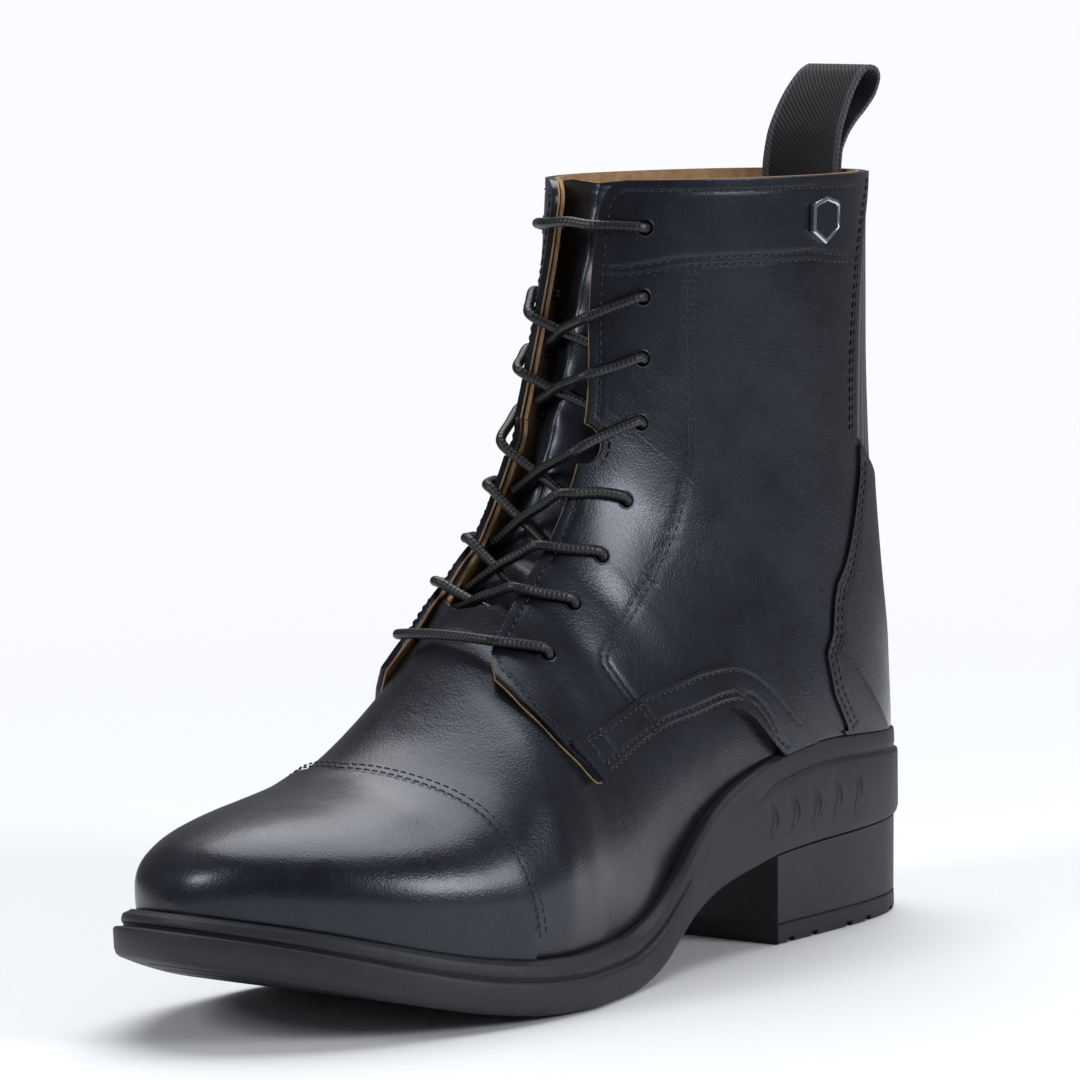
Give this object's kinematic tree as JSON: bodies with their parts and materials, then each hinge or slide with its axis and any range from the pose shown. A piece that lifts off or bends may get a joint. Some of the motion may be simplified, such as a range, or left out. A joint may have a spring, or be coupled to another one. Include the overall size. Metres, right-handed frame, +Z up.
{
  "type": "paddock boot",
  "caption": "Ankle-high lace-up riding boot for the left foot, with a capped toe, curved side straps, elastic back gore, pull loop and a cupped rubber sole with a stacked heel.",
  "frame": {"origin": "on the ground at the centre of the heel lift", "axes": "toe points to -Y, the wearer's left and the boot's outer side is +X, +Z up"},
  "size_m": [0.1079, 0.308, 0.2555],
  "materials": {
    "black_leather": "smooth black full-grain leather, waxed to a medium gloss",
    "black_rubber": "moulded black rubber, fine matt pebble grain",
    "lift_rubber": "dense matt black heel rubber",
    "tan_suede": "tan suede lining and sock",
    "black_elastic": "black ribbed elastic and twill webbing",
    "waxed_cord": "round braided black waxed cord",
    "badge_chrome": "polished metal badge with a dark blank face"
  },
  "bodies": {
    "root": {"badge": "badge_chrome", "elastic_gore": "black_elastic", "heel_block": "black_rubber", "heel_counter": "black_leather", "heel_lift": "lift_rubber", "insole": "tan_suede", "lace_bar_bottom": "waxed_cord", "lace_bar_top": "waxed_cord", "lace_cross_1": "waxed_cord", "lace_cross_2": "waxed_cord", "lace_cross_3": "waxed_cord", "lace_cross_4": "waxed_cord", "lace_cross_5": "waxed_cord", "lace_cross_6": "waxed_cord", "outsole": "black_rubber", "pull_loop": "black_elastic", "quarter_lateral": "black_leather", "quarter_medial": "black_leather", "strap_lateral": "black_leather", "strap_medial": "black_leather", "toe_cap": "black_leather", "tongue": "black_leather", "upper": "black_leather"}
  },
  "joints": []
}
